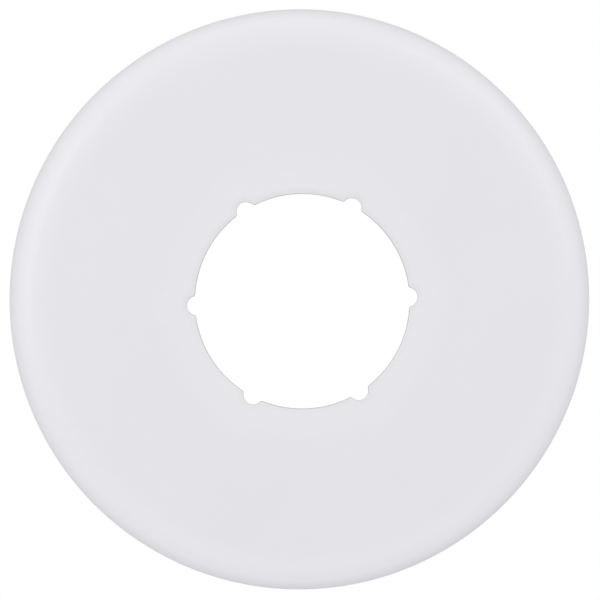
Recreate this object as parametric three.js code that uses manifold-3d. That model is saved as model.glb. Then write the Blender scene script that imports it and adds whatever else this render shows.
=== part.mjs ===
// Escutcheon plate for a ceiling fire sprinkler: the round white trim that hides the hole in the ceiling.
// It is one piece of sheet steel, drawn into a shallow pan with a soft rim. Its middle is pierced with a
// round hole for the sprinkler's thread, and six relief notches in the hole's edge let that edge give.
//
// Millimetres, +Z up. The plate lies with its visible face up. The origin is the centre of the rim's
// edge, which rests on the ceiling, and one notch is on +X.

import * as THREE from 'three';
import { mergeVertices, toCreasedNormals } from 'three/addons/utils/BufferGeometryUtils.js';
import Module from 'manifold-3d';

const wasm = await Module();
wasm.setup();

// Driving dimensions.
const sheetThickness = 0.6;
const plateDiameter = 73.0; // outside of the skirt
const plateHeight = 6.4; // rim's edge to the flat of the face
const rimRadius = 3.6; // outside of the bend between the face and the skirt
const shoulderRadius = 46.0; // the long soft curve where the face starts to fall to the rim
const shoulderSlope = 4.0; // degrees, where the shoulder meets the rim's bend
const holeDiameter = 26.6; // at the visible face, over a 3/4 in tapered sprinkler thread
const dishRadius = 80.0; // the faint dip that piercing leaves round the hole
const dishSlope = 3.0; // degrees, where the dip meets the hole
const notchCount = 6;
const notchDiameter = 2.3;
const notchCentre = 13.16; // distance of a notch's centre from the plate's axis
const notchMouthRadius = 0.4; // the rounded corners where a notch opens into the hole

// Fineness of the facets.
const turnSegments = 96;
const rimSteps = 7;
const shoulderSteps = 2;
const dishSteps = 3;
const notchSteps = 12;

const coatColour = 0xe4e3e8;
const coatRoughness = 0.32;

const rad = THREE.MathUtils.degToRad;

// One place on the visible side of the sheet: distance from the axis, height, and the angle in degrees
// that the surface faces, from 0 (away from the axis) through 90 (up) to 180 (towards the axis).
function station(r, z, facing) {
  const normal = new THREE.Vector2(Math.cos(rad(facing)), Math.sin(rad(facing)));
  return { face: new THREE.Vector2(r, z), normal };
}

// Stations along an arc of the visible side, with its first end left to the run before it.
function arc(centre, radius, from, to, steps) {
  return Array.from({ length: steps }, (_, i) => {
    const facing = from + ((to - from) * (i + 1)) / steps;
    const { normal } = station(0, 0, facing);
    const place = centre.clone().addScaledVector(normal, radius);
    return station(place.x, place.y, facing);
  });
}

// The visible side of the sheet in section, from the rim's edge over the face to the hole.
function visibleSide() {
  const outside = plateDiameter / 2;
  const bore = holeDiameter / 2;

  const rimTop = 90 - shoulderSlope;
  const rimLean = station(0, 0, rimTop).normal;
  const shoulderCentre = new THREE.Vector2(
    outside - rimRadius - (shoulderRadius - rimRadius) * rimLean.x,
    plateHeight - shoulderRadius,
  );
  const rimCentre = shoulderCentre.clone().addScaledVector(rimLean, shoulderRadius - rimRadius);

  const holeFacing = 90 + dishSlope;
  const dishCentre = new THREE.Vector2(
    bore - dishRadius * station(0, 0, holeFacing).normal.x,
    plateHeight - dishRadius,
  );

  return [
    station(outside, 0, 0),
    station(outside, rimCentre.y, 0),
    ...arc(rimCentre, rimRadius, 0, rimTop, rimSteps),
    ...arc(shoulderCentre, shoulderRadius, rimTop, 90, shoulderSteps),
    station(dishCentre.x, plateHeight, 90),
    ...arc(dishCentre, dishRadius, 90, holeFacing, dishSteps),
  ];
}

// The pressed sheet before the notches are cut: the section, one sheet thick, turned about the axis.
function pressedSheet() {
  const side = visibleSide();
  const visible = side.map((s) => s.face);
  const hidden = side.map((s) => s.face.clone().addScaledVector(s.normal, -sheetThickness));
  const outline = [...visible, ...hidden.reverse(), visible[0].clone()];
  return new THREE.LatheGeometry(outline, turnSegments).rotateX(Math.PI / 2);
}

// A punch for one notch on +X: round at its end, with corners that flow into the edge of the hole.
function notchPunch() {
  const bore = holeDiameter / 2;
  const round = notchDiameter / 2;
  const corner = bore + notchMouthRadius;
  const span = round + notchMouthRadius;
  const turn = Math.acos((corner ** 2 + notchCentre ** 2 - span ** 2) / (2 * corner * notchCentre));
  const cornerX = corner * Math.cos(turn);
  const cornerY = corner * Math.sin(turn);
  const lean = Math.atan2(cornerY, cornerX - notchCentre);

  const outline = new THREE.Shape();
  outline.moveTo((bore - 1) * Math.cos(turn), -(bore - 1) * Math.sin(turn));
  outline.absarc(cornerX, -cornerY, notchMouthRadius, Math.PI - turn, Math.PI - lean, true);
  outline.absarc(notchCentre, 0, round, -lean, lean, false);
  outline.absarc(cornerX, cornerY, notchMouthRadius, lean - Math.PI, turn - Math.PI, true);
  outline.lineTo((bore - 1) * Math.cos(turn), (bore - 1) * Math.sin(turn));
  outline.closePath();

  return new THREE.ExtrudeGeometry(outline, {
    depth: 2 * plateHeight,
    bevelEnabled: false,
    curveSegments: notchSteps,
  });
}

function toSolid(geometry) {
  const bare = geometry.clone();
  bare.deleteAttribute('normal');
  bare.deleteAttribute('uv');
  const merged = mergeVertices(bare, 1e-4);
  return new wasm.Manifold(
    new wasm.Mesh({
      numProp: 3,
      vertProperties: merged.attributes.position.array,
      triVerts: new Uint32Array(merged.index.array),
    }),
  );
}

function toGeometry(solid) {
  const mesh = solid.getMesh();
  const geometry = new THREE.BufferGeometry();
  geometry.setAttribute('position', new THREE.BufferAttribute(mesh.vertProperties, 3));
  geometry.setIndex(new THREE.BufferAttribute(mesh.triVerts, 1));
  return toCreasedNormals(geometry, rad(30));
}

function escutcheonPlate() {
  let plate = toSolid(pressedSheet());
  for (let i = 0; i < notchCount; i++) {
    plate = plate.subtract(toSolid(notchPunch().rotateZ((i * 2 * Math.PI) / notchCount)));
  }
  const coat = new THREE.MeshStandardMaterial({
    color: coatColour,
    roughness: coatRoughness,
    metalness: 0,
  });
  const mesh = new THREE.Mesh(toGeometry(plate), coat);
  mesh.name = 'escutcheon_plate';
  return mesh;
}

const escutcheon = new THREE.Group();
escutcheon.add(escutcheonPlate());

export default escutcheon;
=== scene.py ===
# %% [markdown]
# # A sprinkler escutcheon, pressed from one disc of sheet steel
#
# An escutcheon is the round trim that hides the rough hole in a ceiling round a fire sprinkler. The
# real one starts as a flat disc of thin steel. A punch pierces the middle and bites six small notches
# into the hole's edge, so that the edge can give a little when the sprinkler's thread goes through. A
# press then rolls the rim down to the ceiling, and last the plate gets a white baked coat. The model is
# made in the same order: a flat blank with its notches, the pressing, the thickness of the sheet, and
# then the coat.
#
# The lesson starts by loading the part that the CAD made. Its box gives the plate's width and height. The
# rest of the section repeats the few dimensions that the CAD is driven by, which a box doesn't tell.

import math

import bmesh
import bpy
from mathutils import Matrix, Vector


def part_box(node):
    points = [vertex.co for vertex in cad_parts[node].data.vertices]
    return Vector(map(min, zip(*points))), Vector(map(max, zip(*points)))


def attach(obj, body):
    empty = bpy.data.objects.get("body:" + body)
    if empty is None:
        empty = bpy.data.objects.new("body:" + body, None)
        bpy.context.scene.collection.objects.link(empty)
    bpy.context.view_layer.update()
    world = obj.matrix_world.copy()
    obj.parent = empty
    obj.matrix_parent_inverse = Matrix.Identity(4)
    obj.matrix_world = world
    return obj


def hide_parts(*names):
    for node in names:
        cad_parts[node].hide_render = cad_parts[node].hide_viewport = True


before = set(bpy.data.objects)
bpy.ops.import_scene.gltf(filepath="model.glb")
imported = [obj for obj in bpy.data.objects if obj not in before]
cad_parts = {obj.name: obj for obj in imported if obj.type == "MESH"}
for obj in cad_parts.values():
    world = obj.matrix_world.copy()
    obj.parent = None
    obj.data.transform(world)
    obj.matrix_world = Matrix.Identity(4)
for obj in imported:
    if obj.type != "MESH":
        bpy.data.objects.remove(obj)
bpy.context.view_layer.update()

MM = 0.001
plate_low, plate_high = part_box("escutcheon_plate")
outside_radius = (plate_high.x - plate_low.x) / 2
face_height = plate_high.z
print(f"the plate is {2 * outside_radius / MM:.1f} mm across and {face_height / MM:.1f} mm high")

# %% [markdown]
# ## The camera
#
# The plate is seen almost straight on, from a little to the upper left, so that the hole seems to sit a
# hair to the lower right of the middle. A camera can be turned by three angles, by a constraint, or by
# its own three directions. The directions are used here, because they say plainly how the plate's own X
# and Y axes lie in the view.

# %% Camera
camera_distance = 280 * MM
camera_tilt = math.radians(3.45)
camera_side = math.radians(144.6)
plate_roll = math.radians(2.2)
camera_lens = 131.4
aim = Vector((0.07 * MM, -0.08 * MM, -1.6 * MM))


def polar(radius, angle, height=0.0):
    return Vector((radius * math.cos(angle), radius * math.sin(angle), height))


to_camera = polar(math.sin(camera_tilt), camera_side, math.cos(camera_tilt))
picture_up = polar(1, math.pi / 2 - plate_roll)
picture_right = picture_up.cross(to_camera).normalized()
picture_up = to_camera.cross(picture_right)

camera = bpy.data.objects.new("camera", bpy.data.cameras.new("camera"))
bpy.context.scene.collection.objects.link(camera)
camera.data.lens = camera_lens
camera.data.clip_start = 10 * MM
camera.data.clip_end = 10.0
turn = Matrix((picture_right, picture_up, to_camera)).transposed().to_4x4()
camera.matrix_world = Matrix.Translation(aim + camera_distance * to_camera) @ turn
bpy.context.scene.camera = camera
print("the camera stands at", [round(value / MM) for value in camera.location], "mm")

# %% [markdown]
# ## The section of the pressed sheet
#
# Cut the plate in half and the visible side of the sheet is a chain of straight runs and bends: up
# through a faint dip round the hole, flat over the face, and then over a long soft shoulder and a
# tighter bend into the skirt. A section could be drawn as a curve and turned into a surface, but a
# chain of exact runs is better here. Pressing doesn't stretch the sheet much, so the length of each run
# is also its width in the flat blank, and one list of runs serves for both.

# %% Runs of the section
sheet = 0.6 * MM
hole_radius = 13.3 * MM
dip_radius = 80.0 * MM
dip_slope = 3.0
shoulder_radius = 46.0 * MM
shoulder_slope = 4.0
rim_bend = 3.6 * MM


def facing(degrees):
    """Direction in the section: 0 looks away from the plate's axis, 90 up and 180 towards the axis."""
    return Vector((math.cos(math.radians(degrees)), math.sin(math.radians(degrees))))


def straight_run(start, end, rows):
    start, end = Vector(start), Vector(end)
    return {"length": (end - start).length, "rows": rows, "place": lambda share: start.lerp(end, share)}


def bent_run(centre, radius, first, last, rows):
    length = radius * math.radians(abs(last - first))
    return {
        "length": length,
        "rows": rows,
        "place": lambda share: centre + radius * facing(first + (last - first) * share),
    }


rim_top = facing(90 - shoulder_slope)
shoulder_centre = Vector((outside_radius - rim_bend, face_height - shoulder_radius))
shoulder_centre.x -= (shoulder_radius - rim_bend) * rim_top.x
rim_centre = shoulder_centre + (shoulder_radius - rim_bend) * rim_top
dip_centre = Vector((hole_radius, face_height - dip_radius))
dip_centre.x -= dip_radius * facing(90 + dip_slope).x

runs = [
    bent_run(dip_centre, dip_radius, 90 + dip_slope, 90, rows=14),
    straight_run((dip_centre.x, face_height), (shoulder_centre.x, face_height), rows=10),
    bent_run(shoulder_centre, shoulder_radius, 90, 90 - shoulder_slope, rows=8),
    bent_run(rim_centre, rim_bend, 90 - shoulder_slope, 0, rows=16),
    straight_run((outside_radius, rim_centre.y), (outside_radius, 0), rows=4),
]
print("length of the section:", round(sum(run["length"] for run in runs) / MM, 1), "mm")

# %% [markdown]
# ## Flat places and pressed places
#
# The blank is measured so that the hole keeps its radius when the sheet is pressed. From there the flat
# radius grows with the length of the sheet. `pressed` follows a flat radius to its place in the
# section.

# %% From flat to pressed
def pressed(flat_radius):
    """Radius and height, after pressing, of the sheet at this radius of the flat blank."""
    along = flat_radius - hole_radius
    for run in runs:
        if along <= run["length"] or run is runs[-1]:
            return run["place"](min(max(along / run["length"], 0), 1))
        along -= run["length"]


blank_radius = hole_radius + sum(run["length"] for run in runs)
print(f"the blank is {2 * blank_radius / MM:.1f} mm across with a {2 * hole_radius / MM:.1f} mm hole")

# %% [markdown]
# ## The blank, unrolled
#
# A ring is awkward to edit, so the blank is drawn unrolled: X is the distance from the plate's axis and
# Y is the angle round it, measured as the length of the hole's edge. On this strip the hole and the rim
# are straight lines. One wedge of 30 degrees is enough, from the middle of a notch to half way to the
# next. Rows are close together in the bends and wide on the flat, so the faces go where the sheet
# curves. The strip starts one narrow band away from the hole, because the band is added last, square to
# the cut edge all the way round.

# %% Row radii
band = 0.26 * MM
row_radii = []
start = hole_radius
for run in runs:
    row_radii += [start + run["length"] * row / run["rows"] for row in range(run["rows"])]
    start += run["length"]
row_radii.append(blank_radius)
row_radii[0] += band
print(f"{len(row_radii)} rows of points, from {row_radii[0] / MM:.2f} to {row_radii[-1] / MM:.2f} mm")

# %% Unrolled and rolled up
notch_count = 6
half_pitch = math.pi / notch_count
wedge_width = half_pitch * hole_radius


def unrolled(place):
    return Vector((math.hypot(place.x, place.y), math.atan2(place.y, place.x) * hole_radius, 0))


def rolled_up(place, height=0.0):
    return polar(place.x, place.y / hole_radius, height)


# %% Operators on one piece
def activate(piece):
    bpy.ops.object.select_all(action="DESELECT")
    piece.select_set(True)
    bpy.context.view_layer.objects.active = piece


def edit(piece, select_mode="VERT"):
    activate(piece)
    bpy.ops.object.mode_set(mode="EDIT")
    bpy.ops.mesh.select_mode(type=select_mode)
    bpy.ops.mesh.select_all(action="DESELECT")
    return bmesh.from_edit_mesh(piece.data)


def leave(piece):
    bpy.ops.object.mode_set(mode="OBJECT")
    print(piece.name, "has", len(piece.data.vertices), "points and", len(piece.data.polygons), "faces")


# %% A wedge of the blank
columns = 15

bpy.ops.object.select_all(action="DESELECT")
bpy.ops.mesh.primitive_plane_add(size=1 * MM, location=(0, 0, 0))
plate = bpy.context.object
plate.name = "escutcheon"
edit(plate)
bpy.ops.mesh.select_all(action="SELECT")
bpy.ops.mesh.merge(type="CENTER")
bpy.ops.transform.translate(value=(row_radii[0], 0, 0))
for inner, outer in zip(row_radii, row_radii[1:]):
    bpy.ops.mesh.extrude_region_move(TRANSFORM_OT_translate={"value": (outer - inner, 0, 0)})
bpy.ops.mesh.select_all(action="SELECT")
for _ in range(columns):
    bpy.ops.mesh.extrude_region_move(TRANSFORM_OT_translate={"value": (0, wedge_width / columns, 0)})
leave(plate)

# %% [markdown]
# ## The notch
#
# A notch is round at its end and opens into the hole with two soft corners. It could be cut with a
# boolean, but a boolean leaves long thin faces that catch the light badly. Instead a block of faces is
# taken out of the strip, its open edge is drawn in until it is one band away from the notch, and the
# gap is divided into even rows. Then the band itself is drawn out to the cut edge, of the notch and of
# the hole alike.

# %% Outline of the notch
notch_radius = 1.15 * MM
notch_middle = Vector((13.16 * MM, 0, 0))
mouth_radius = 0.4 * MM

corner_reach = hole_radius + mouth_radius
corner_span = notch_radius + mouth_radius
corner_turn = math.acos(
    (corner_reach**2 + notch_middle.x**2 - corner_span**2) / (2 * corner_reach * notch_middle.x)
)
corner_centre = polar(corner_reach, corner_turn)
corner_lean = math.atan2(corner_centre.y, corner_centre.x - notch_middle.x)
round_length = notch_radius * corner_lean
mouth_length = mouth_radius * (corner_lean - corner_turn)


def beside_notch(share, gap):
    """Place this gap away from the notch's edge: share 0 is the middle of its end and 1 is at the hole."""
    along = share * (round_length + mouth_length)
    if along < round_length:
        return notch_middle + polar(notch_radius + gap, along / notch_radius)
    turned = (along - round_length) / mouth_radius
    return corner_centre + polar(mouth_radius - gap, corner_lean - math.pi - turned)


deepest, joined = beside_notch(0, 0), beside_notch(1, 0)
print(f"the notch is {(deepest.x - hole_radius) / MM:.2f} mm deep")
print(f"at its mouth it is {2 * joined.y / MM:.2f} mm wide")

# %% Take out a block of faces
block_columns = 6
block_rows = 10
block_width = wedge_width * block_columns / columns
block_radius = row_radii[block_rows]
tiny = 0.001 * MM


def in_block(place, margin):
    return place.x < block_radius + margin and place.y < block_width + margin


mesh = edit(plate, "FACE")
for face in mesh.faces:
    face.select_set(in_block(face.calc_center_median(), 0))
print("faces taken out:", sum(face.select for face in mesh.faces))
bpy.ops.mesh.delete(type="FACE")
leave(plate)

# %% Draw the open edge in to the notch
strip_cuts = 5


def drawn_in(place):
    """Place beside the notch for a place on the block's open edge."""
    row = min(range(len(row_radii)), key=lambda i: abs(row_radii[i] - place.x))
    steps = round(place.y / block_width * block_columns) + block_rows - row
    return unrolled(beside_notch(steps / (block_columns + block_rows), band))


mesh = edit(plate, "EDGE")
for edge in mesh.edges:
    edge.select_set(edge.is_boundary and all(in_block(vertex.co, tiny) for vertex in edge.verts))
print("edges drawn in:", sum(edge.select for edge in mesh.edges))
bpy.ops.mesh.extrude_region_move()
mesh = bmesh.from_edit_mesh(plate.data)
outline = {vertex.index for vertex in mesh.verts if vertex.select}
for vertex in mesh.verts:
    if vertex.select:
        vertex.co = drawn_in(vertex.co)
for edge in mesh.edges:
    edge.select_set(len([vertex for vertex in edge.verts if vertex.index in outline]) == 1)
bpy.ops.mesh.subdivide(number_cuts=strip_cuts)
leave(plate)

# %% Draw the band out to the cut edge
def on_cut_edge(place):
    """The place on the cut edge that is nearest to a place one band away from it."""
    if math.atan2(place.y, place.x) > corner_turn:
        return hole_radius * place.normalized()
    from_notch = place - notch_middle
    if math.atan2(from_notch.y, from_notch.x) < corner_lean:
        return notch_middle + notch_radius * from_notch.normalized()
    return corner_centre + mouth_radius * (place - corner_centre).normalized()


def on_side(edge):
    """Whether an edge lies on one of the two straight sides of the wedge, or on its rim."""
    ends = [vertex.co for vertex in edge.verts]
    return (
        all(end.y < tiny for end in ends)
        or all(end.y > wedge_width - tiny for end in ends)
        or all(end.x > blank_radius - tiny for end in ends)
    )


mesh = edit(plate, "EDGE")
for edge in mesh.edges:
    edge.select_set(edge.is_boundary and not on_side(edge))
print("edges beside the cut:", sum(edge.select for edge in mesh.edges))
bpy.ops.mesh.extrude_region_move()
mesh = bmesh.from_edit_mesh(plate.data)
for vertex in mesh.verts:
    if vertex.select:
        vertex.co = unrolled(on_cut_edge(rolled_up(vertex.co)))
leave(plate)

# %% [markdown]
# ## The whole blank
#
# The wedge holds half a notch. Mirrored, it is one notch's share of the blank, and six of those lie
# side by side along the strip. They meet edge to edge, so their doubled points are merged, and then all
# faces are turned to look up, because mirroring turned half of them over.

# %% Mirror and repeat
edit(plate)
bpy.ops.mesh.select_all(action="SELECT")
bpy.ops.mesh.duplicate()
bpy.ops.transform.resize(value=(1, -1, 1), center_override=(0, 0, 0))
bpy.ops.mesh.select_all(action="SELECT")
for _ in range(notch_count - 1):
    bpy.ops.mesh.duplicate_move(TRANSFORM_OT_translate={"value": (0, 2 * wedge_width, 0)})
bpy.ops.mesh.select_all(action="SELECT")
bpy.ops.mesh.remove_doubles(threshold=tiny)
bpy.ops.mesh.normals_make_consistent(inside=False)
mesh = bmesh.from_edit_mesh(plate.data)
if sum(face.normal.z for face in mesh.faces) < 0:
    bpy.ops.mesh.flip_normals()
leave(plate)

# %% [markdown]
# ## Pressing
#
# Now the strip is rolled up into a ring and the press closes. No modifier folds a flat strip into this
# section exactly, so each point is moved in code: its flat radius says where in the section it goes,
# and its angle says where round the plate. The punch also drags the sheet down a little as it goes
# through, so the last millimetre before the cut edge, round the hole and the notches alike, leans into
# the hole. That soft lean is what the eye reads as sheet metal and not as card. Each point also keeps
# its distance from the cut as an attribute, for the coat to read.

# %% How far a place is from the cut
roll_reach = 1.0 * MM
roll_depth = 0.15 * MM
slope_at_cut = 2 * roll_depth / roll_reach


def from_cut(place):
    """Distance of a place on the strip from the nearest cut edge. Every wedge is folded onto the first."""
    across = abs((place.y + wedge_width) % (2 * wedge_width) - wedge_width)
    flat = rolled_up(Vector((place.x, across, 0)))
    return (flat - on_cut_edge(flat)).length


def roll_drop(distance):
    """How far the punch has dragged the sheet down, this far from the cut."""
    return roll_depth * max(1 - distance / roll_reach, 0) ** 2


print(f"the sheet leans by {math.degrees(math.atan(slope_at_cut)):.0f} degrees at the cut")

# %% Press the blank
cut_distance = plate.data.attributes.new("from_cut", "FLOAT", "POINT")
for vertex, distance in zip(plate.data.vertices, cut_distance.data):
    place = pressed(vertex.co.x)
    distance.value = from_cut(vertex.co)
    vertex.co = rolled_up(Vector((place.x, vertex.co.y, 0)), place.y - roll_drop(distance.value))
edit(plate)
bpy.ops.mesh.select_all(action="SELECT")
bpy.ops.mesh.remove_doubles(threshold=tiny)
mesh = bmesh.from_edit_mesh(plate.data)
print("open edges, all on the rim and in the hole:", sum(edge.is_boundary for edge in mesh.edges))
leave(plate)
heights = [vertex.co.z for vertex in plate.data.vertices]
print(f"pressed from flat to {(max(heights) - min(heights)) / MM:.2f} mm high")

# %% [markdown]
# ## Thickness and edges
#
# Solidify gives the sheet its 0.6 mm, inwards from the visible side. It can give the hidden side and
# the cut edges their own material slots, which saves selecting them later. A sheared edge is never
# knife sharp. The punch drags the face down a little where it enters, so the visible side of the hole
# gets a wide round, and every other cut edge gets a narrow one.

# %% Solidify
visible_side, hidden_side, cut_edge = range(3)
for slot_name in ("face_coat", "hidden_coat", "edge_coat"):
    plate.data.materials.append(bpy.data.materials.new(slot_name))
activate(plate)
wall = plate.modifiers.new("sheet", "SOLIDIFY")
wall.thickness = sheet
wall.offset = -1
wall.use_quality_normals = True
wall.material_offset = hidden_side
wall.material_offset_rim = cut_edge
bpy.ops.object.modifier_apply(modifier="sheet")
print("the sheet has", len(plate.data.polygons), "faces")

# %% Round the cut edges
punch_round, punch_steps = 0.2 * MM, 5
edge_round, edge_steps = 0.08 * MM, 3
sharp = math.radians(50)
smooth_below = math.radians(40)


def round_edges(piece, reach, segments, wanted):
    """Bevel the wanted ones of the sharp edges that border a cut edge, and give the rounds its coat."""
    mesh = edit(piece, "EDGE")
    chosen = 0
    for edge in mesh.edges:
        sides = {face.material_index for face in edge.link_faces}
        if wanted(edge, sides) and cut_edge in sides and edge.calc_face_angle(0) > sharp:
            edge.select_set(True)
            chosen += 1
    bpy.ops.mesh.bevel(
        offset=reach, segments=segments, affect="EDGES", clamp_overlap=False, material=cut_edge
    )
    print("edges rounded:", chosen)
    leave(piece)


def near_hole(edge):
    return edge.verts[0].co.xy.length < block_radius


round_edges(plate, punch_round, punch_steps, lambda edge, sides: visible_side in sides and near_hole(edge))
round_edges(plate, edge_round, edge_steps, lambda edge, sides: hidden_side in sides or not near_hole(edge))
activate(plate)
bpy.ops.object.shade_smooth_by_angle(angle=smooth_below)
heights = [vertex.co.z for vertex in plate.data.vertices]
print(f"the finished sheet runs from {min(heights) / MM:.3f} to {max(heights) / MM:.3f} mm high")

# %% [markdown]
# ## The finish
#
# The plate has a white powder coat, baked on in an oven. It is satin and cool in tone, with a very fine
# orange peel. It lies a little thicker where the powder gathers round the hole and over the rim, and there
# the face is painted a little whiter, as painted highlight. On the punched edge the molten coat draws back
# from the corner, and there the colour is painted a touch darker and greyer, partly as painted shade of
# the hole's edge. The hidden side catches only stray powder over the bare steel. A painted picture could
# hold all this, but it would blur up close. Nodes that read Object coordinates stay sharp at any size and
# run unbroken from the face into the skirt.

# %% Node helpers
def put(tree, kind, sockets=None, **options):
    """Add a node, set its options, and fill its inputs with values or with other nodes' outputs."""
    node = tree.nodes.new("ShaderNode" + kind)
    for name, value in options.items():
        setattr(node, name, value)
    for name, value in (sockets or {}).items():
        if isinstance(value, bpy.types.NodeSocket):
            tree.links.new(value, node.inputs[name])
        else:
            node.inputs[name].default_value = value
    return node


def math_node(tree, operation, first, second=0.0):
    return put(tree, "Math", {0: first, 1: second}, operation=operation).outputs[0]


def ramp(tree, value, low, high, out_low, out_high):
    """Ease a value from one pair of limits to another."""
    sockets = {"Value": value, "From Min": low, "From Max": high, "To Min": out_low, "To Max": out_high}
    return put(tree, "MapRange", sockets, interpolation_type="SMOOTHSTEP").outputs["Result"]


def blend_colours(tree, share, first, second):
    return put(tree, "Mix", {0: share, 6: first, 7: second}, data_type="RGBA").outputs[2]


def new_group(name, inputs, outputs):
    """An empty node group with named sockets, and its two end nodes."""
    group = bpy.data.node_groups.new(name, "ShaderNodeTree")
    for label, kind in inputs.items():
        group.interface.new_socket(label, in_out="INPUT", socket_type="NodeSocket" + kind)
    for label, kind in outputs.items():
        group.interface.new_socket(label, in_out="OUTPUT", socket_type="NodeSocket" + kind)
    return group, group.nodes.new("NodeGroupInput"), group.nodes.new("NodeGroupOutput")


def use_group(tree, group, sockets):
    return put(tree, "Group", sockets, node_tree=group)


# %% [markdown]
# ## Effects that the coats share
#
# Three finishes meet on this one plate, and they have the same powder in common. Each effect is built
# once as a node group, so that it runs across the border between two finishes without a step. The first
# is how the powder spreads: it gathers over the rim and in a ring round the cut, and draws back in the
# last millimetre before the cut. On the face the same masks lay on painted highlight where the powder
# gathers and painted shade where it draws back.

# %% Spread of the powder
# Where this mask is high, the face is painted whiter as painted highlight, in a ring round the hole and
# over the rim.
hole_gather_and_highlight = 0.75
hole_gather_highlight_near, hole_gather_highlight_far = 1.5 * MM, 5.5 * MM
rim_gather_highlight_start, rim_gather_highlight_end = outside_radius - 6.0 * MM, outside_radius - 2.0 * MM
draw_back_shade_reach = 1.1 * MM

spread_and_painted_light, start, end = new_group(
    "powder_spread_and_painted_light",
    {"Place": "Vector", "From Cut": "Float"},
    {"Gathered And Highlight": "Float", "Drawn Back And Shade": "Float", "Radius": "Float"},
)
level = put(spread_and_painted_light, "VectorMath", {0: start.outputs["Place"], 1: (1, 1, 0)}, operation="MULTIPLY")
radius = put(spread_and_painted_light, "VectorMath", {0: level.outputs[0]}, operation="LENGTH").outputs["Value"]
by_hole = ramp(spread_and_painted_light, start.outputs["From Cut"], hole_gather_highlight_near, hole_gather_highlight_far, hole_gather_and_highlight, 0)
by_rim = ramp(spread_and_painted_light, radius, rim_gather_highlight_start, rim_gather_highlight_end, 0, 1)
spread_and_painted_light.links.new(math_node(spread_and_painted_light, "MAXIMUM", by_hole, by_rim), end.inputs["Gathered And Highlight"])
# Painted shade: this mask also darkens the coat's colour in the last millimetre before the cut.
drawn_back_and_shade = ramp(spread_and_painted_light, start.outputs["From Cut"], band, draw_back_shade_reach, 1, 0)
spread_and_painted_light.links.new(drawn_back_and_shade, end.inputs["Drawn Back And Shade"])
spread_and_painted_light.links.new(radius, end.inputs["Radius"])
# The ring round the hole also carries painted highlight on the face.
print("powder gathers within", round(hole_gather_highlight_far / MM, 1), "mm of the hole")

# %% [markdown]
# Powder never melts perfectly level. What is left is a fine ripple called orange peel, a millimetre or
# so from crest to crest, and a much slower drift in thickness. Here and there a grain of dust is baked
# in as a nib.

# %% Orange peel, drift and nibs
drift_size = 14 * MM
nib_spacing = 3.2 * MM
nib_share = 0.82
nib_radius = 0.035  # as a share of the spacing
nib_height = 1.5  # in ripples
drift_low, drift_high = 0.3, 0.7

skin, start, end = new_group(
    "powder_skin", {"Place": "Vector", "Ripple": "Float"}, {"Height": "Float", "Drift": "Float"}
)
ripple_scale = math_node(skin, "DIVIDE", 1.0, start.outputs["Ripple"])
peel = put(skin, "TexNoise", {"Vector": start.outputs["Place"], "Scale": ripple_scale, "Detail": 2.0})
drift = put(skin, "TexNoise", {"Vector": start.outputs["Place"], "Scale": 1 / drift_size, "Detail": 3.0})
cells = put(skin, "TexVoronoi", {"Vector": start.outputs["Place"], "Scale": 1 / nib_spacing})
picked = put(skin, "SeparateColor", {"Color": cells.outputs["Color"]}).outputs[0]
chosen = math_node(skin, "GREATER_THAN", picked, nib_share)
bump = ramp(skin, cells.outputs["Distance"], 0, nib_radius, nib_height, 0)
nibs = math_node(skin, "MULTIPLY", chosen, bump)
skin.links.new(math_node(skin, "ADD", peel.outputs[0], nibs), end.inputs["Height"])
skin.links.new(ramp(skin, drift.outputs[0], drift_low, drift_high, 0, 1), end.inputs["Drift"])
print("a nib in about one cell of", round(1 / (1 - nib_share), 1))

# %% [markdown]
# The colour of the coat follows from those two: cool white, whiter where the powder has gathered, which
# is also painted highlight on the ring round the hole and over the rim, and a touch darker where the drift
# leaves it thin or the cut draws it back, the last also painted shade. This too is a group, because the
# face and the cut edge both start from it.

# %% Tone of the coat
# The whitest of these whites is painted highlight on the ring round the hole and over the rim.
coat_white = (0.872, 0.864, 0.902, 1)
painted_highlight_white = (0.897, 0.888, 0.928, 1)
thin_white = (0.862, 0.855, 0.890, 1)
# The last white is painted shade, laid on in the last millimetre before the cut.
painted_shade_white = (0.862, 0.857, 0.884, 1)

tone, start, end = new_group(
    "powder_tone_and_painted_light", {"Gathered And Highlight": "Float", "Drawn Back And Shade": "Float", "Drift": "Float"}, {"Color": "Color"}
)
drifted = blend_colours(tone, start.outputs["Drift"], thin_white, coat_white)
# Painted highlight: the face is painted whiter on the ring round the hole and over the rim.
highlighted_tone = blend_colours(tone, start.outputs["Gathered And Highlight"], drifted, painted_highlight_white)
# Painted shade: a touch darker beside the cut, where the coat also draws back.
toned = blend_colours(tone, start.outputs["Drawn Back And Shade"], highlighted_tone, painted_shade_white)
tone.links.new(toned, end.inputs["Color"])
print("the red in the four whites:", painted_shade_white[0], thin_white[0], coat_white[0], painted_highlight_white[0])


# %% A coat to build on
def new_coat(slot, ripple):
    """Start a coat: its tree, its coordinates, the powder's spread with the masks of painted highlight and
    shade, its skin and its Principled shader.
    """
    coat = plate.data.materials[slot]
    coat.use_nodes = True
    tree = coat.node_tree
    tree.nodes.clear()
    place = put(tree, "TexCoord").outputs["Object"]
    distance = put(tree, "Attribute", attribute_name="from_cut").outputs["Fac"]
    powder = use_group(tree, spread_and_painted_light, {"Place": place, "From Cut": distance})
    surface = use_group(tree, skin, {"Place": place, "Ripple": ripple})
    shader = put(tree, "BsdfPrincipled")
    put(tree, "OutputMaterial", {"Surface": shader.outputs[0]})
    print("started", coat.name)
    return tree, place, powder, surface, shader


def coat_tone_and_painted_light(tree, powder, surface):
    """The coat's colour, from the spread of its powder, the drift in its skin, and painted highlight and
    shade.
    """
    sockets = {name: powder.outputs[name] for name in ("Gathered And Highlight", "Drawn Back And Shade")}
    return use_group(tree, tone, {**sockets, "Drift": surface.outputs["Drift"]}).outputs["Color"]


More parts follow.
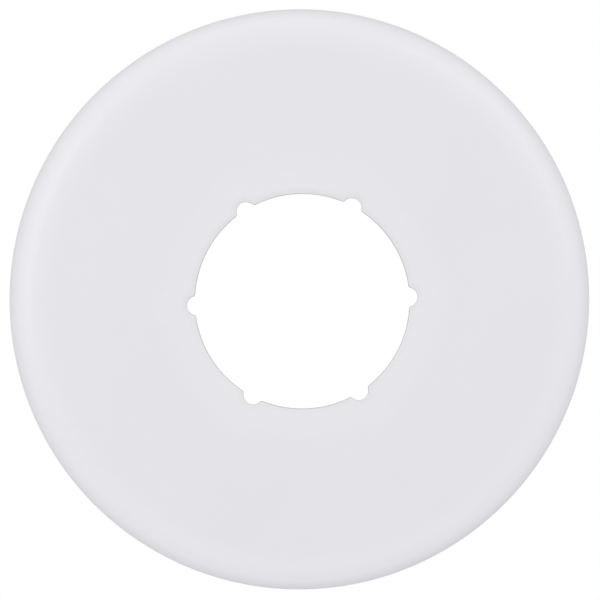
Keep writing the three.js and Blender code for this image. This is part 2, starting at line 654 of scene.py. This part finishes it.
def raise_skin(tree, shader, height, depth):
    relief = put(tree, "Bump", {"Height": height, "Distance": depth})
    tree.links.new(relief.outputs[0], shader.inputs["Normal"])


# %% [markdown]
# ## The face
#
# The visible coat is the calmest of the three. Its roughness follows the drift, because a thin coat
# melts less level than a thick one, and its relief is only the orange peel and the nibs.

# %% Face coat
face_ripple = 1.3 * MM
face_relief = 0.008 * MM
thin_roughness, thick_roughness = 0.35, 0.30

tree, _, powder, surface, shader = new_coat(visible_side, face_ripple)
tree.links.new(coat_tone_and_painted_light(tree, powder, surface), shader.inputs["Base Color"])
roughness = ramp(tree, surface.outputs["Drift"], 0, 1, thin_roughness, thick_roughness)
tree.links.new(roughness, shader.inputs["Roughness"])
raise_skin(tree, shader, surface.outputs["Height"], face_relief)
print(f"orange peel {face_ripple / MM:.1f} mm from crest to crest and {face_relief / MM:.3f} mm deep")

# %% [markdown]
# ## The cut edge
#
# Where the round begins, the edge has the colour of the face, and down the wall it turns to the grey of
# steel seen through a thin coat; round the hole this grey is also painted shade of the hole's edge. Height
# tells how far down the wall a point is. Under the coat the punch has left upright streaks, so their noise
# is squeezed round the edge and stretched along Z.

# %% Edge coat
# This grey is steel under a thin coat, and round the hole it is also painted shade of the hole's edge.
edge_grey_and_shade = (0.58, 0.58, 0.59, 1)
round_top = pressed(hole_radius).y - roll_depth + punch_round * slope_at_cut
bare_depth = 0.06 * MM
streak_width = 0.12 * MM
streak_stretch = 0.08
edge_ripple = 0.7 * MM
edge_relief = 0.006 * MM
least_worn = 0.8
coated_roughness, bared_roughness = 0.34, 0.46

tree, place, powder, surface, shader = new_coat(cut_edge, edge_ripple)
height = put(tree, "SeparateXYZ", {0: place}).outputs["Z"]
# Down the wall the colour turns grey: thin coat over steel, and round the hole also painted shade.
bared_and_shaded = ramp(tree, height, round_top - bare_depth, round_top, 1, 0)
worn = ramp(tree, surface.outputs["Drift"], 0, 1, 1, least_worn)
greyed_and_shaded = math_node(tree, "MULTIPLY", bared_and_shaded, worn)
colour = blend_colours(tree, greyed_and_shaded, coat_tone_and_painted_light(tree, powder, surface), edge_grey_and_shade)
tree.links.new(colour, shader.inputs["Base Color"])
tree.links.new(ramp(tree, bared_and_shaded, 0, 1, coated_roughness, bared_roughness), shader.inputs["Roughness"])
squeezed = put(tree, "Mapping", {"Vector": place, "Scale": (1, 1, streak_stretch)}).outputs[0]
streaks = put(tree, "TexNoise", {"Vector": squeezed, "Scale": 1 / streak_width, "Detail": 2.0}).outputs[0]
seen_streaks = math_node(tree, "MULTIPLY", streaks, bared_and_shaded)
raise_skin(tree, shader, math_node(tree, "ADD", surface.outputs["Height"], seen_streaks), edge_relief)
print(f"the edge turns grey between {(round_top - bare_depth) / MM:.2f} and {round_top / MM:.2f} mm up")

# %% [markdown]
# ## The hidden side
#
# Under the plate the powder is a dusting. It covers well near the rim and round the hole, where it
# creeps in past the edges, and lets patches of grey steel through between. The press has left faint
# rings in the steel, which are noise that changes only with the radius.

# %% Hidden coat
steel = (0.46, 0.46, 0.48, 1)
dusting = (0.79, 0.785, 0.81, 1)
patch_size = 2.2 * MM
ring_width = 0.35 * MM
ring_share = 0.6
hidden_ripple = 0.9 * MM
hidden_relief = 0.008 * MM
creep_share, drift_share = 0.45, 0.25
settled_low, settled_high = 0.38, 0.72
least_cover, whole_cover = 0.35, 0.8
steel_metallic = 0.7
steel_roughness, dusting_roughness = 0.40, 0.62

tree, place, powder, surface, shader = new_coat(hidden_side, hidden_ripple)
patches = put(tree, "TexNoise", {"Vector": place, "Scale": 1 / patch_size, "Detail": 5.0}).outputs[0]
creep = math_node(tree, "MULTIPLY", powder.outputs["Gathered And Highlight"], creep_share)
slow = math_node(tree, "MULTIPLY", surface.outputs["Drift"], drift_share)
settled = math_node(tree, "ADD", math_node(tree, "ADD", patches, creep), slow)
cover = ramp(tree, settled, settled_low, settled_high, least_cover, 1)
tree.links.new(blend_colours(tree, cover, steel, dusting), shader.inputs["Base Color"])
metallic = ramp(tree, cover, least_cover, whole_cover, steel_metallic, 0)
tree.links.new(metallic, shader.inputs["Metallic"])
roughness = ramp(tree, cover, least_cover, 1, steel_roughness, dusting_roughness)
tree.links.new(roughness, shader.inputs["Roughness"])
ring_sockets = {"W": powder.outputs["Radius"], "Scale": 1 / ring_width}
rings = put(tree, "TexNoise", ring_sockets, noise_dimensions="1D")
faint_rings = math_node(tree, "MULTIPLY", rings.outputs[0], ring_share)
raise_skin(tree, shader, math_node(tree, "ADD", faint_rings, patches), hidden_relief)
print(f"patches of steel about {patch_size / MM:.1f} mm wide")

# %% [markdown]
# ## Fastening
#
# The finished plate rides on the frame's only body and stands for the CAD's plain one, so it needs no
# fitting.

# %% Fasten it to the frame
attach(plate, "root")
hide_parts("escutcheon_plate")
print("the plate has", sum(len(face.vertices) - 2 for face in plate.data.polygons), "triangles")

# %% [markdown]
# ## A white table
#
# The plate lies on a table that glows, so the ground and the view through the hole are plain white.
# What the camera sees of the table and what the table sends up at the plate are set apart with a Light
# Path node: pure white for the camera, and only a mild glow for the rest.


# %% Glowing white
def white_glow(tree, emitter, output, seen, felt):
    """Emit one strength to the camera and another to everything else."""
    path = put(tree, "LightPath")
    seen_glow = put(tree, emitter, {"Color": (1, 1, 1, 1), "Strength": seen}).outputs[0]
    felt_glow = put(tree, emitter, {"Color": (1, 1, 1, 1), "Strength": felt}).outputs[0]
    mix = put(tree, "MixShader", {0: path.outputs["Is Camera Ray"], 1: felt_glow, 2: seen_glow})
    put(tree, output, {"Surface": mix.outputs[0]})
    print(f"a glow of {seen} to the camera and {felt} to the plate")


# %% Floor
floor_size = 6.0
floor_gap = 0.02 * MM

bpy.ops.object.select_all(action="DESELECT")
bpy.ops.mesh.primitive_plane_add(size=floor_size, location=(0, 0, -floor_gap))
floor = bpy.context.object
floor.name = "floor"
table_white = bpy.data.materials.new("table_white")
table_white.use_nodes = True
table_white.node_tree.nodes.clear()
white_glow(table_white.node_tree, "Emission", "OutputMaterial", seen=1.0, felt=0.53)
floor.data.materials.append(table_white)

# %% [markdown]
# ## Light
#
# A white thing on white shows its shape only through small differences, so nearly all the light comes
# from everywhere: a bright room, and a ring of low panels that the turned-down rim can mirror. Two
# panels higher up, on the left and on the right, give the rim its lighter and darker sides. One strong
# lamp would be simpler, but it would burn the near rim white and blacken the far one.

# %% Room
room = bpy.data.worlds.new("white_room")
room.use_nodes = True
room.node_tree.nodes.clear()
white_glow(room.node_tree, "Background", "OutputWorld", seen=1.0, felt=0.60)
bpy.context.scene.world = room


# %% Panels
def soft_panel(name, bearing, lean, distance, size, power):
    """A round panel that faces the plate. Its bearing and its lean from straight up are in degrees."""
    bpy.ops.object.light_add(type="AREA")
    panel = bpy.context.object
    panel.name = name
    panel.data.shape = "DISK"
    panel.data.size = size
    panel.data.energy = power
    away = polar(math.sin(math.radians(lean)), math.radians(bearing), math.cos(math.radians(lean)))
    panel.location = distance * away
    panel.rotation_mode = "QUATERNION"
    panel.rotation_quaternion = away.to_track_quat("Z", "Y")
    print(name, "stands at", [round(value, 2) for value in panel.location], "m")


low_panels = 8
for number in range(low_panels):
    bearing = number * 360 / low_panels
    soft_panel(f"low_panel_{number + 1}", bearing, lean=75, distance=1.0, size=0.8, power=0.62)
soft_panel("right_panel", bearing=36, lean=40, distance=1.0, size=0.8, power=1.24)
soft_panel("left_panel", bearing=162, lean=40, distance=0.7, size=0.56, power=0.77)

view = bpy.context.scene.view_settings
view.view_transform = "Standard"
view.look = "None"
